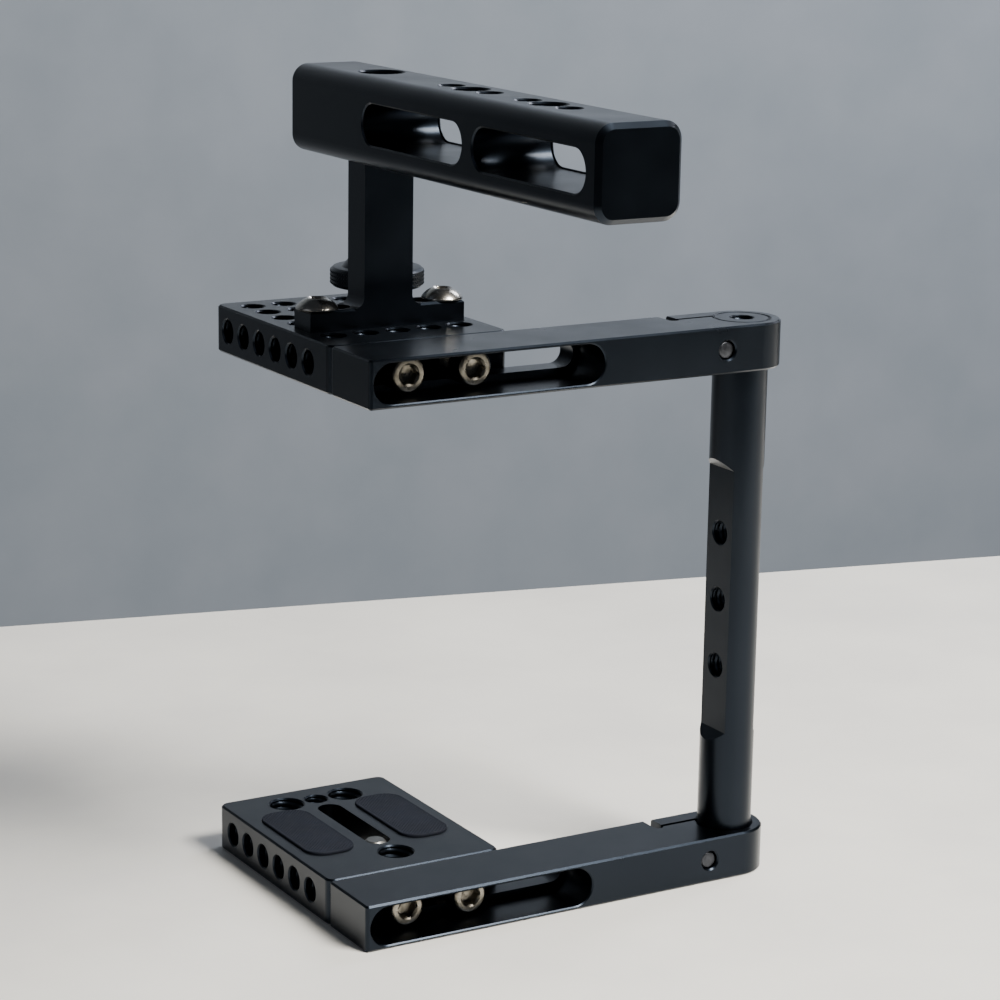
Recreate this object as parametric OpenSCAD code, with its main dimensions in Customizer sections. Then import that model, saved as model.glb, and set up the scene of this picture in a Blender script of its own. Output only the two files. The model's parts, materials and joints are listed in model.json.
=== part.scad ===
// Camera cage: two cheese plates on slotted arms, a 15 mm side rod between the arms,
// a top handle on a T-shaped post, a captive camera screw and a shoe-mount thumb screw.
// Millimetres, +Z up. The origin is the centre of the 3/8" tripod thread, on the underside
// of the base plate. X runs along the arms towards the rod, and Y away from the arms.

/* [Plates] */
// Distance from a plate's side to its first column of holes
side_margin = 7.5; // [6:0.5:9]
// Thickness of the plates and the arms
plate_t = 12.7; // [12.7:0.1:16]
// Radius of the plates' upright corners
plate_r = 2.5; // [1:0.1:4]
// Chamfer along the outer edges of plates and arms
edge_c = 0.5; // [0.2:0.1:0.8]
// Distance from one row of threaded holes to the next
hole_pitch = 9.5; // [9.3:0.1:10]
// Distance from one column of threaded holes to the next
column_pitch = 9.25; // [9.25:0.05:10]
// Distance from the base plate's front face to the tripod thread
first_row = 11.25; // [11:0.25:12]
// Distance from the last row of holes in the base plate to its rear edge
rear_margin = 9.25; // [8.75:0.25:14]
// Distance of the top plate's rows behind those of the base plate
row_shift = 1.5; // [0:0.1:2]

/* [Threads] */
// Major diameter of the 1/4"-20 threads
quarter_d = 6.35; // [6.2:0.05:6.5]
// Major diameter of the 3/8"-16 threads
three8_d = 9.53; // [9.4:0.01:9.7]
// Countersink at the mouth of each threaded hole
hole_c = 0.4; // [0.2:0.1:0.6]
// Depth of the threaded holes in the side of the base plate
base_side_depth = 10; // [6:0.5:11]
// Depth of the side holes in the top plate, which break into its first column of holes
top_side_depth = 5.5; // [4.5:0.5:6]

/* [Base plate] */
// Width of the camera-screw slot
slot_w = 7; // [6.8:0.1:8]
// Wall left between the slot's channel and the threaded hole at each end of it
slot_wall = 0.3; // [0.3:0.1:2]
// Width of the channel under the slot, in which the screw's head runs
channel_w = 10.1; // [9.8:0.1:11]
// Depth of that channel
channel_h = 9; // [8:0.1:10]
// Width of a rubber pad
pad_w = 14.6; // [10:0.2:15]
// Length of a rubber pad
pad_l = 35; // [20:0.5:36]
// Height that a pad stands above the plate
pad_rise = 0.6; // [0.4:0.1:1.5]
// Depth of the recess that a pad is glued into
pad_recess = 0.6; // [0.3:0.1:1]
// Corner radius of a pad
pad_r = 5.5; // [3:0.5:7]
// Distance from the plate's middle to the middle of a pad
pad_x = 14.6; // [14.2:0.1:15.5]
// Distance from the tripod thread to the middle of a pad
pad_y = 24.2; // [23.5:0.1:26]

/* [Camera screw] */
// Gap all round between the camera screw's head and its channel
cam_head_gap = 0.35; // [0.3:0.05:0.6]
// Height of that head
cam_head_h = 3; // [2:0.1:3.5]
// Distance of the parked screw from the front end of its slot
cam_park = 1.2; // [0:0.1:5]
// Distance of the dropped head above the plate's underside
cam_head_rise = 0.2; // [0:0.1:1]
// Thickness of the washer under the slot's ledge
cam_washer_t = 0.8; // [0.5:0.1:1]
// Distance of the dropped screw's tip below the top of the plate
cam_tip_drop = 0.4; // [0:0.1:2]
// Chamfer at the screw's tip
cam_tip_c = 0.8; // [0.4:0.1:1]
// Chamfer round its head
cam_head_c = 0.4; // [0.2:0.1:0.6]
// Width of the coin slot in its head
coin_w = 1.6; // [1:0.1:2.5]
// Depth of the coin slot
coin_h = 1.5; // [1:0.1:1.8]

/* [Arms] */
// Depth of the arms, from front to back
arm_d = 21; // [20:0.5:26]
// Distance from the plates' middle to the rod's axis
rod_x = 92.4; // [90:0.2:120]
// Radius of the upright corners at an arm's plate end
arm_r = 1; // [0.6:0.1:3]
// Distance from one arm screw of the base plate to the other
base_screw_pitch = 19; // [18:0.1:20]
// Distance from one arm screw of the top plate to the other
top_screw_pitch = 19.2; // [18:0.1:20]
// Distance from the top plate's middle to the middle of its pair, away from the rod
top_screw_shift = 0.9; // [0:0.1:1.5]
// Height of the pocket in the front of an arm
pocket_h = 11.2; // [10.4:0.1:11.4]
// Length of the pocket
pocket_l = 68; // [64:1:70]
// Depth of the pocket
pocket_d = 14.5; // [13:0.1:15]
// Wall between the pocket and the plate end of the arm
pocket_wall = 1; // [0.8:0.1:3]
// Width of the slot in the pocket's floor
floor_slot_w = 6.8; // [6.6:0.1:7.4]
// Ledge left at each end of that slot
floor_ledge = 1.2; // [0.6:0.1:2.2]
// Length of thread that an arm screw has in its plate
arm_screw_grip = 7; // [5:0.1:7]
// Depth left free past the arm screw's tip
arm_screw_end = 0.5; // [0.2:0.1:0.6]
// Countersink at the mouth of an arm screw's thread
arm_screw_c = 0.2; // [0.1:0.1:0.4]

/* [Rod clamps] */
// Width of the saw cut that opens each clamp
cut_w = 1.3; // [1:0.1:2]
// Distance from the rod's axis back to the middle of the saw cut
cut_y = 4.7; // [4:0.1:5]
// Distance from the rod's axis to the notch at the end of the jaw
notch_x = 18.9; // [18:0.1:22]
// Width of that notch
notch_w = 3; // [2:0.1:4]
// Distance from the rod's axis to the pinch screw
pinch_x = 11.5; // [11.3:0.1:13]
// Diameter of the pinch screws
pinch_d = 5; // [4:0.5:5]
// Depth of the recess for the head of a pinch screw
pinch_recess = 2.6; // [1:0.1:3]
// Distance of a pinch screw's tip below the arm's front face
pinch_drop = 0.8; // [0:0.1:2]
// Gap all round between a pinch screw and its hole through the jaw
pinch_gap = 0.3; // [0.25:0.05:0.6]
// Gap all round between a pinch screw's head and its recess
pinch_head_gap = 0.35; // [0.3:0.05:0.6]

/* [Side rod] */
// Diameter of the rod
rod_d = 15; // [14:0.1:16]
// Length of the rod
rod_l = 155.5; // [140:0.5:200]
// Distance of the flats from the rod's axis
flat_x = 4.8; // [4.5:0.1:6.5]
// Length of the flats between their ramps
flat_l = 74; // [60:1:90]
// Distance from one cross hole in the rod to the next
rod_pitch = 18.8; // [15:0.2:25]
// Distance from the middle of the rod down to the middle of its flats
flat_drop = 0.1; // [0:0.1:3]
// Depth of the threads in the ends of the rod
rod_end_depth = 12; // [8:0.5:20]
// Chamfer at the ends of the rod
rod_c = 0.4; // [0.2:0.1:1]
// Countersink at the threads in the ends of the rod
rod_end_c = 0.3; // [0.2:0.1:1]

/* [Handle post] */
// Wall left past the end of each slot in the foot
foot_wall = 0.95; // [0.8:0.05:3]
// Thickness of the foot
foot_t = 5.5; // [4:0.1:8]
// Depth of the foot and the post
post_d = 9.2; // [8:0.1:12]
// Width of the post
post_w = 14.2; // [10:0.1:15]
// Height of the post, from the top plate to the handle
post_h = 42.8; // [32:0.2:60]
// Fillet between the post and its foot
foot_fillet = 2.5; // [1:0.1:3]
// Chamfer along the top of the foot
foot_c = 0.6; // [0.3:0.1:0.7]
// Length of each slot in the foot
foot_slot_l = 12.6; // [9:0.1:12.6]
// Width of each slot in the foot
foot_slot_w = 6.5; // [6.5:0.1:6.7]
// Depth of the thread in the top of the post
post_thread = 20; // [16:1:26]

/* [Handle] */
// Width of the handle
handle_w = 23; // [21:0.5:30]
// Height of the handle
handle_h = 22.8; // [21:0.2:30]
// Length of the handle
handle_l = 151.6; // [146:0.2:180]
// Distance from the post's axis to the rear end of the handle
handle_rear = 29.4; // [26:0.2:40]
// Radius of the handle's long edges
handle_r = 4.5; // [2:0.5:5.5]
// Chamfer at the handle's ends
handle_c = 1.3; // [0.5:0.1:2]
// Height of the two windows through the handle
window_h = 11.2; // [8:0.1:12]
// Length of each window
window_l = 51.3; // [46:0.1:52]
// Web between the two windows
window_web = 4.2; // [3:0.1:8]
// Distance from the handle's front end to the first window
window_front = 4.9; // [4:0.1:8]
// Distance from the middle of the web to the 3/8" hole on each side of it
group_y = 18.2; // [17:0.1:30]
// Distance from a 3/8" hole to the 1/4" holes beside it
group_pitch = 9.3; // [8.9:0.1:10]
// Diameter of the counterbore for the handle's bolt
bolt_bore_d = 11.8; // [10.2:0.1:13]
// Depth of that counterbore
bolt_bore_h = 9; // [7:0.5:14]
// Length of thread that the handle's bolt has in the post
bolt_grip = 14; // [8:0.5:15]

/* [Shoe mount] */
// Diameter of the knurled knob
knob_d = 25.4; // [20:0.2:26]
// Height of the knurled rim
knob_h = 5.2; // [4:0.1:8]
// Diameter of the boss on top of the knob, at its foot
boss_d = 19; // [12:0.5:20]
// Diameter of that boss at its top
boss_top_d = 14; // [8:0.5:16]
// Height of the boss
boss_h = 3; // [2:0.1:5]
// Flutes round the knob's rim
knob_flutes = 48; // [36:2:60]
// Distance from the top plate up to the knob
knob_gap = 6.7; // [6:0.1:9]
// Distance from the top plate's underside down to the shoe foot
shoe_drop = 6; // [4:0.1:9]
// Side of the square shoe foot
shoe_w = 18.5; // [17:0.1:18.6]
// Thickness of the shoe foot's flange
shoe_t = 1.9; // [1.5:0.1:2.1]
// Width of the neck above the flange
neck_w = 12.4; // [10:0.1:12.6]
// Height of the neck
neck_h = 2.2; // [1.6:0.1:3]
// Chamfer round the knurled rim
knob_c = 0.8; // [0.2:0.1:1.2]
// Diameter of the cutter that mills one flute
flute_d = 1.1; // [0.8:0.1:1.4]
// Depth of a flute
flute_h = 0.35; // [0.2:0.05:0.5]
// Radius of the shoe foot's corners
shoe_r = 1; // [0.6:0.1:2]
// Chamfer round the shoe foot
shoe_c = 0.3; // [0.1:0.1:0.5]
// Floor left under the stud in the shoe foot
stud_floor = 0.5; // [0.3:0.1:0.8]

/* [Fasteners] */
// Head diameter of the 1/4" socket cap screws
cap_d = 9.5; // [9:0.1:10]
// Head height of the 1/4" socket cap screws
cap_h = 6.35; // [5:0.05:6.6]
// Size across the flats of their sockets
cap_socket = 4.8; // [4:0.1:5.6]
// Head diameter of the 1/4" button-head screws
button_d = 11.1; // [10:0.1:12]
// Head height of the 1/4" button-head screws
button_h = 3.4; // [2.5:0.1:4]
// Size across the flats of the button heads' sockets
button_socket = 4; // [3:0.1:4.5]
// Head diameter of the pinch screws
pinch_head_d = 8.5; // [7:0.1:8.6]
// Head height of the pinch screws
pinch_head_h = 5; // [4:0.1:5.5]
// Size across the flats of the pinch screws' sockets
pinch_socket = 4; // [3:0.1:4.5]
// Height of the straight rim under the button heads
button_rim = 0.4; // [0.2:0.1:0.8]
// Length of thread that a button-head screw has in the top plate
button_grip = 11.7; // [6:0.1:12.7]
// Chamfer round a screw's head and at its tip
screw_c = 0.5; // [0.3:0.1:0.7]
// Depth of a socket, as a share of its head's height
socket_share = 0.6; // [0.4:0.05:0.7]

/* [Fits] */
// Gap all round between the rod and the bore of a clamp
rod_fit = 0.05; // [0.03:0.01:0.1]
// Gap all round between a turning screw and its thread
thread_fit = 0.04; // [0.02:0.01:0.08]
// Gap between parts that slide on each other
slide_fit = 0.1; // [0.05:0.05:0.3]

/* [Hidden] */
$fn = 64;

// Overrun of a cutting tool past the face that it cuts
over = 1;
// Overlap of two shapes that make one piece
weld = 0.1;

// Holes across and along the top plate; the base plate's holes and the side holes follow them
columns = 5;
rows = 6;

// Plates and arms, seen from the tripod thread at the origin
first_column = -(columns - 1) / 2 * column_pitch;
last_row = (rows - 1) * hole_pitch;
plate_w = 2 * (side_margin - first_column);
plate_d = first_row + last_row + rear_margin;
plate_front = -first_row;
arm_back = plate_front - slide_fit / 2;
arm_front = arm_back - arm_d;
rod_y = arm_front + arm_d / 2;
arm_left = -plate_w / 2;
top_z = rod_l - plate_t;
mid_t = plate_t / 2;

// Arm screws, along X
base_right_x = base_screw_pitch / 2;
base_left_x = -base_right_x;
top_right_x = top_screw_pitch / 2 - top_screw_shift;
top_left_x = top_right_x - top_screw_pitch;

pocket_left = arm_left + pocket_wall;
pocket_floor = arm_front + pocket_d;

// The slot and its channel fill the space between the tripod thread and the last row of holes
channel_start = three8_d / 2 + hole_c + slot_wall;
channel_end = last_row - quarter_d / 2 - hole_c - slot_wall;
channel_l = channel_end - channel_start;
slot_l = channel_l - channel_w + slot_w;

// Camera screw, dropped and parked near the front end of its slot
cam_y = channel_start + channel_w / 2 + cam_park;
cam_head_d = channel_w - 2 * cam_head_gap;
cam_head_top = cam_head_rise + cam_head_h;
cam_tip_z = plate_t - cam_tip_drop;

// Handle post, over the top plate's second row of holes
post_y = row_shift + hole_pitch;
post_screw_x = -first_column;
foot_l = 2 * (post_screw_x + foot_slot_w / 2 + foot_wall);
post_z = rod_l;
handle_z = post_z + post_h;
handle_front = post_y + handle_rear - handle_l;
foot_slot_x = post_screw_x - (foot_slot_l - foot_slot_w) / 2;

// Shoe mount, in the second column from the rod's side and the fourth row from the arm
knob_x = column_pitch;
knob_y = row_shift + 3 * hole_pitch;
knob_z = rod_l + knob_gap;
shoe_top = top_z - shoe_drop;

// ---------- shapes that repeat ----------

// Outline of a bar's end, w wide and t high, with a chamfer c on all four corners
function chamfered(w, t, c) = [
    [-w / 2 + c, 0], [w / 2 - c, 0], [w / 2, c], [w / 2, t - c],
    [w / 2 - c, t], [-w / 2 + c, t], [-w / 2, t - c], [-w / 2, c]
];

// Upright disc of radius r and height t with both rims chamfered by c
module puck(r, t, c) {
    rotate_extrude()
        polygon([[0, 0], [r - c, 0], [r, c], [r, t - c], [r - c, t], [0, t]]);
}

// Bar along X from x0 to x1, centred on Y, with its long edges chamfered
module bar_x(x0, x1, w, t, c) {
    translate([x0, 0, 0])
        rotate([90, 0, 90])
            linear_extrude(x1 - x0)
                polygon(chamfered(w, t, c));
}

// Slab w by d by t, centred on X and Y, with corners of radius r and every rim chamfered by c
module slab(w, d, t, r, c) {
    bar_x(-w / 2 + r, w / 2 - r, d, t, c);
    rotate([0, 0, 90])
        bar_x(-d / 2 + r, d / 2 - r, w, t, c);
    for (x = [-1, 1], y = [-1, 1])
        translate([x * (w / 2 - r), y * (d / 2 - r), 0])
            puck(r, t, c);
}

// Cutter for a hole through thickness t with a countersink c at both mouths
module through_hole(d, t, c) {
    rotate_extrude()
        polygon([
            [0, -over], [d / 2 + c + over, -over], [d / 2, c],
            [d / 2, t - c], [d / 2 + c + over, t + over], [0, t + over]
        ]);
}

// Cutter for a blind hole that goes down from z = 0, with a countersunk mouth
module blind_hole(d, depth, c) {
    rotate_extrude()
        polygon([[0, -depth], [d / 2, -depth], [d / 2, -c], [d / 2 + c + over, over], [0, over]]);
}

// Flat outline of a slot, l long along X and w wide, with full-round ends
module slot_outline(l, w) {
    square([l - w, w], center = true);
    for (x = [-1, 1])
        translate([x * (l - w) / 2, 0])
            circle(d = w);
}

// Socket cap screw with its head's seat at z = 0 and its shank pointing down
module cap_screw(d, l, head_d, head_h, socket) {
    r = head_d / 2;
    difference() {
        union() {
            rotate_extrude()
                polygon([[0, 0], [r, 0], [r, head_h - screw_c], [r - screw_c, head_h], [0, head_h]]);
            shank(d, l, screw_c);
        }
        socket_cut(head_h, socket);
    }
}

// Screw shank from z = 0 down, with a chamfered tip
module shank(d, l, c) {
    rotate_extrude()
        polygon([[0, weld], [d / 2, weld], [d / 2, c - l], [d / 2 - c, -l], [0, -l]]);
}

// Hexagon socket of size s across its flats, sunk into a head of height h
module socket_cut(h, s) {
    translate([0, 0, h * (1 - socket_share)])
        cylinder(d = s / cos(30), h = h, $fn = 6);
}

// ---------- base plate and what it carries ----------

// Row of 1/4" holes in a plate's left side, the first of them at y
module side_holes(y, depth) {
    for (i = [0 : rows - 1])
        translate([-plate_w / 2, y + i * hole_pitch, mid_t])
            rotate([0, -90, 0])
                blind_hole(quarter_d, depth, hole_c);
}

// Threaded holes in a plate's front face that take the two arm screws
module arm_screw_holes(left_x, right_x) {
    for (x = [left_x, right_x])
        translate([x, plate_front, mid_t])
            rotate([90, 0, 0])
                blind_hole(quarter_d, arm_screw_grip + arm_screw_end, arm_screw_c);
}

// Blank of either plate, in its own place behind the arm
module plate_blank() {
    translate([0, plate_front + plate_d / 2, 0])
        slab(plate_w, plate_d, plate_t, plate_r, edge_c);
}

// Outline of one rubber pad, grown all round by g
module pad_outline(side, g) {
    translate([side * pad_x, pad_y]) {
        square([pad_w + 2 * g, pad_l - 2 * pad_r], center = true);
        square([pad_w - 2 * pad_r, pad_l + 2 * g], center = true);
        for (x = [-1, 1], y = [-1, 1])
            translate([x * (pad_w / 2 - pad_r), y * (pad_l / 2 - pad_r)])
                circle(pad_r + g);
    }
}

module base_plate() {
    color("#26282c")
    difference() {
        plate_blank();
        through_hole(three8_d, plate_t, hole_c);
        translate([0, last_row, 0]) {
            through_hole(quarter_d, plate_t, hole_c);
            for (x = [-1, 1])
                translate([x * column_pitch, 0, 0])
                    through_hole(three8_d, plate_t, hole_c);
        }
        translate([0, (channel_start + channel_end) / 2, 0])
            rotate([0, 0, 90]) {
                translate([0, 0, -over])
                    linear_extrude(plate_t + 2 * over)
                        slot_outline(slot_l, slot_w);
                translate([0, 0, -over])
                    linear_extrude(channel_h + over)
                        slot_outline(channel_l, channel_w);
            }
        for (s = [-1, 1])
            translate([0, 0, plate_t - pad_recess])
                linear_extrude(pad_recess + over)
                    pad_outline(s, slide_fit);
        side_holes(0, base_side_depth);
        arm_screw_holes(base_left_x, base_right_x);
    }
}

module base_pad(side) {
    color("#1b1d21")
    translate([0, 0, plate_t - pad_recess])
        linear_extrude(pad_recess + pad_rise)
            pad_outline(side, 0);
}

module base_pad_left() {
    base_pad(-1);
}

module base_pad_right() {
    base_pad(1);
}

// Screw that holds the camera: coin-slotted head in the channel, tip just under the plate's top.
// It is pushed up through the slot, until its head meets the washer, to reach the camera.
module camera_screw() {
    color("#8d8f90")
    translate([0, cam_y, cam_head_top])
        difference() {
            union() {
                translate([0, 0, -cam_head_h])
                    puck(cam_head_d / 2, cam_head_h, cam_head_c);
                mirror([0, 0, 1])
                    shank(quarter_d, cam_tip_z - cam_head_top, cam_tip_c);
            }
            translate([0, 0, -cam_head_h])
                cube([cam_head_d + over, coin_w, 2 * coin_h], center = true);
        }
}

module camera_screw_washer() {
    color("#9a9c9d")
    translate([0, cam_y, channel_h - cam_washer_t - slide_fit / 2])
        difference() {
            cylinder(d = cam_head_d, h = cam_washer_t);
            translate([0, 0, -over])
                cylinder(d = quarter_d + 2 * slide_fit, h = cam_washer_t + 2 * over);
        }
}

// ---------- arms ----------

// Blank of an arm: square at the plate end, half round about the rod's axis
module arm_blank() {
    translate([0, rod_y, 0]) {
        bar_x(arm_left + arm_r, rod_x, arm_d, plate_t, edge_c);
        translate([arm_left + 2 * arm_r, 0, 0])
            rotate([0, 0, 90])
                bar_x(-arm_d / 2 + arm_r, arm_d / 2 - arm_r, 4 * arm_r, plate_t, edge_c);
        for (y = [-1, 1])
            translate([arm_left + arm_r, y * (arm_d / 2 - arm_r), 0])
                puck(arm_r, plate_t, edge_c);
        translate([rod_x, 0, 0])
            puck(arm_d / 2, plate_t, edge_c);
    }
}

// Pocket for the screw heads, and the slot in its floor
module arm_pocket() {
    translate([pocket_left + pocket_l / 2, 0, mid_t])
        rotate([90, 0, 0]) {
            translate([0, 0, -pocket_floor])
                linear_extrude(pocket_d + over)
                    slot_outline(pocket_l, pocket_h);
            translate([0, 0, -arm_back - over])
                linear_extrude(arm_d + over)
                    slot_outline(pocket_l - 2 * floor_ledge, floor_slot_w);
        }
}

// Bore for the rod, with the saw cut and the notch that free the back jaw
module rod_clamp() {
    translate([rod_x, rod_y, 0]) {
        through_hole(rod_d + 2 * rod_fit, plate_t, edge_c);
        translate([-notch_x, cut_y - cut_w / 2, -over])
            cube([notch_x, cut_w, plate_t + 2 * over]);
        translate([-notch_x - notch_w / 2, cut_y - cut_w / 2, -over])
            cube([notch_w, arm_d, plate_t + 2 * over]);
        translate([-notch_x, cut_y, -over])
            cylinder(d = notch_w, h = plate_t + 2 * over);
    }
}

// Hole for the pinch screw: threaded in the front, free in the jaw, recessed for its head
module pinch_hole() {
    translate([rod_x - pinch_x, rod_y, mid_t])
        rotate([90, 0, 0]) {
            translate([0, 0, arm_d / 2])
                blind_hole(pinch_d + 2 * thread_fit, arm_d / 2 + cut_y, hole_c);
            translate([0, 0, -arm_d / 2 - over])
                cylinder(d = pinch_d + 2 * pinch_gap, h = arm_d / 2 - cut_y + over);
            translate([0, 0, -arm_d / 2 - over])
                cylinder(d = pinch_head_d + 2 * pinch_head_gap, h = pinch_recess + over);
        }
}

module arm(z) {
    color("#26282c")
    translate([0, 0, z])
        difference() {
            arm_blank();
            arm_pocket();
            rod_clamp();
            pinch_hole();
        }
}

module arm_screw(x, z) {
    color("#77756f")
    translate([x, pocket_floor - slide_fit / 2, z + mid_t])
        rotate([90, 0, 0])
            cap_screw(quarter_d, plate_front - pocket_floor + arm_screw_grip, cap_d, cap_h, cap_socket);
}

module pinch_screw(z) {
    seat = arm_back - pinch_recess + slide_fit;
    color("#6d6f70")
    translate([rod_x - pinch_x, seat, z + mid_t])
        rotate([-90, 0, 0])
            cap_screw(pinch_d, seat - arm_front - pinch_drop, pinch_head_d, pinch_head_h, pinch_socket);
}

module base_arm() {
    arm(0);
}

module base_arm_screw_left() {
    arm_screw(base_left_x, 0);
}

module base_arm_screw_right() {
    arm_screw(base_right_x, 0);
}

module base_pinch_screw() {
    pinch_screw(0);
}

module top_arm() {
    arm(top_z);
}

module top_arm_screw_left() {
    arm_screw(top_left_x, top_z);
}

module top_arm_screw_right() {
    arm_screw(top_right_x, top_z);
}

module top_pinch_screw() {
    pinch_screw(top_z);
}

// ---------- side rod ----------

// Wedge-ended block that mills one flat, with its ramps at 45 degrees
module flat_cut() {
    ramp = rod_d / 2 - flat_x + over;
    rotate([90, 0, 0])
        translate([0, 0, -rod_d])
            linear_extrude(2 * rod_d)
                polygon([
                    [flat_x, -flat_l / 2], [flat_x + ramp, -flat_l / 2 - ramp],
                    [flat_x + ramp, flat_l / 2 + ramp], [flat_x, flat_l / 2]
                ]);
}

module side_rod() {
    mid_z = rod_l / 2 - flat_drop;
    color("#232529")
    translate([rod_x, rod_y, 0])
        difference() {
            puck(rod_d / 2, rod_l, rod_c);
            for (s = [0, 180])
                translate([0, 0, mid_z])
                    rotate([0, 0, s])
                        flat_cut();
            for (i = [-1 : 1])
                translate([-flat_x, 0, mid_z + i * rod_pitch])
                    rotate([0, 90, 0])
                        through_hole(quarter_d, 2 * flat_x, hole_c);
            translate([0, 0, rod_l])
                blind_hole(quarter_d, rod_end_depth, rod_end_c);
            mirror([0, 0, 1])
                blind_hole(quarter_d, rod_end_depth, rod_end_c);
        }
}

// ---------- top plate, post and handle ----------

module top_plate() {
    color("#26282c")
    translate([0, 0, top_z])
        difference() {
            plate_blank();
            for (i = [0 : columns - 1], j = [0 : rows - 1])
                translate([first_column + i * column_pitch, row_shift + j * hole_pitch, 0])
                    through_hole(quarter_d, plate_t, hole_c);
            side_holes(row_shift, top_side_depth);
            arm_screw_holes(top_left_x, top_right_x);
        }
}

// Front view of the post: a T standing on its foot, with a fillet on each side
module post_outline() {
    translate([-post_w / 2, 0])
        square([post_w, post_h]);
    polygon([
        [-foot_l / 2, 0], [foot_l / 2, 0], [foot_l / 2, foot_t - foot_c], [foot_l / 2 - foot_c, foot_t],
        [-foot_l / 2 + foot_c, foot_t], [-foot_l / 2, foot_t - foot_c]
    ]);
    difference() {
        translate([-post_w / 2 - foot_fillet, foot_t - over])
            square([post_w + 2 * foot_fillet, foot_fillet + over]);
        for (x = [-1, 1])
            translate([x * (post_w / 2 + foot_fillet), foot_t + foot_fillet])
                circle(foot_fillet);
    }
}

module handle_post() {
    color("#222428")
    translate([0, post_y, post_z])
        difference() {
            translate([0, post_d / 2, 0])
                rotate([90, 0, 0])
                    linear_extrude(post_d)
                        post_outline();
            // chamfers along the front and the back of the foot
            for (y = [-1, 1], x = [-1, 1])
                translate([x * (post_w / 2 + foot_fillet + foot_l / 4), y * post_d / 2, foot_t])
                    rotate([45, 0, 0])
                        cube([foot_l / 2, foot_c * sqrt(2), foot_c * sqrt(2)], center = true);
            for (x = [-1, 1])
                translate([x * foot_slot_x, 0, -over])
                    linear_extrude(foot_t + 2 * over)
                        slot_outline(foot_slot_l, foot_slot_w);
            translate([0, 0, post_h])
                blind_hole(quarter_d, post_thread, hole_c);
        }
}

// Button-head screw with its head's seat at z = 0: a cap cut from a sphere
module button_screw(l) {
    rise = button_h - button_rim;
    dome_r = (pow(button_d / 2, 2) + rise * rise) / (2 * rise);
    difference() {
        union() {
            cylinder(d = button_d, h = button_rim);
            intersection() {
                translate([0, 0, button_h - dome_r])
                    sphere(dome_r);
                translate([0, 0, button_rim])
                    cylinder(d = button_d, h = button_h);
            }
            shank(quarter_d, l, screw_c);
        }
        socket_cut(button_h, button_socket);
    }
}

module post_screw(side) {
    color("#c9c7c2")
    translate([side * post_screw_x, post_y, post_z + foot_t])
        button_screw(foot_t + button_grip);
}

module post_screw_left() {
    post_screw(-1);
}

module post_screw_right() {
    post_screw(1);
}

module handle_bar() {
    web_y = handle_front + window_front + window_l + window_web / 2;
    window_y = (window_web + window_l) / 2;
    color("#25272b")
    difference() {
        translate([0, handle_front, handle_z + handle_h / 2])
            rotate([-90, 0, 0])
                slab(handle_w, handle_h, handle_l, handle_r, handle_c);
        for (s = [-1, 1])
            translate([-handle_w, web_y + s * window_y, handle_z + handle_h / 2])
                rotate([90, 0, 90])
                    linear_extrude(2 * handle_w)
                        slot_outline(window_l, window_h);
        for (y = [-group_y, group_y])
            translate([0, web_y + y, handle_z + handle_h]) {
                blind_hole(three8_d, handle_h / 2, hole_c);
                for (s = [-1, 1])
                    translate([0, s * group_pitch, 0])
                        blind_hole(quarter_d, handle_h / 2, hole_c);
            }
        translate([0, post_y, handle_z]) {
            translate([0, 0, -over])
                cylinder(d = quarter_d + 2 * slide_fit, h = handle_h + over);
            translate([0, 0, handle_h])
                blind_hole(bolt_bore_d, bolt_bore_h, hole_c);
        }
    }
}

module handle_bolt() {
    color("#3a3b3d")
    translate([0, post_y, handle_z + handle_h - bolt_bore_h])
        cap_screw(quarter_d, handle_h - bolt_bore_h + bolt_grip, cap_d, cap_h, cap_socket);
}

// ---------- shoe mount ----------

// Knob with a fluted rim and a coned boss, screwed and glued onto the stud
module shoe_knob() {
    color("#212327")
    translate([knob_x, knob_y, knob_z])
        difference() {
            union() {
                difference() {
                    puck(knob_d / 2, knob_h, knob_c);
                    for (i = [0 : knob_flutes - 1])
                        rotate([0, 0, i * 360 / knob_flutes])
                            translate([knob_d / 2 + flute_d / 2 - flute_h, 0, -over])
                                rotate([0, 0, 180])
                                    cylinder(d = flute_d, h = knob_h + 2 * over, $fn = 6);
                }
                translate([0, 0, knob_h])
                    cylinder(d1 = boss_d, d2 = boss_top_d, h = boss_h);
            }
            translate([0, 0, -over])
                cylinder(d = quarter_d, h = knob_h + over);
        }
}

// Threaded stud from the knob down through the plate into the shoe foot
module shoe_stud() {
    color("#8a8c8d")
    translate([knob_x, knob_y, shoe_top - neck_h + stud_floor])
        puck(quarter_d / 2 - thread_fit, knob_z + knob_h - shoe_top + neck_h - stud_floor, screw_c);
}

module shoe_foot() {
    color("#303236")
    translate([knob_x, knob_y, shoe_top - neck_h - shoe_t])
        difference() {
            union() {
                slab(shoe_w, shoe_w, shoe_t, shoe_r, shoe_c);
                translate([0, 0, shoe_t - weld])
                    linear_extrude(neck_h + weld)
                        square(neck_w, center = true);
            }
            translate([0, 0, shoe_t + stud_floor - slide_fit])
                cylinder(d = quarter_d + slide_fit, h = neck_h + over);
        }
}

base_plate();
base_pad_left();
base_pad_right();
camera_screw();
camera_screw_washer();
base_arm();
base_arm_screw_left();
base_arm_screw_right();
base_pinch_screw();
side_rod();
top_arm();
top_arm_screw_left();
top_arm_screw_right();
top_pinch_screw();
top_plate();
handle_post();
post_screw_left();
post_screw_right();
handle_bar();
handle_bolt();
shoe_knob();
shoe_stud();
shoe_foot();
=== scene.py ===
"""Camera cage on a table: finishes, threads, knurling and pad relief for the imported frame.

Lengths are metres in the frame of the CAD part, whose origin is the centre of the tripod thread,
on the underside of the base plate. Sizes written in millimetres are multiplied by MM.
"""
import json
import math

import bpy
import numpy as np
from mathutils import Matrix, Vector


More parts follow.
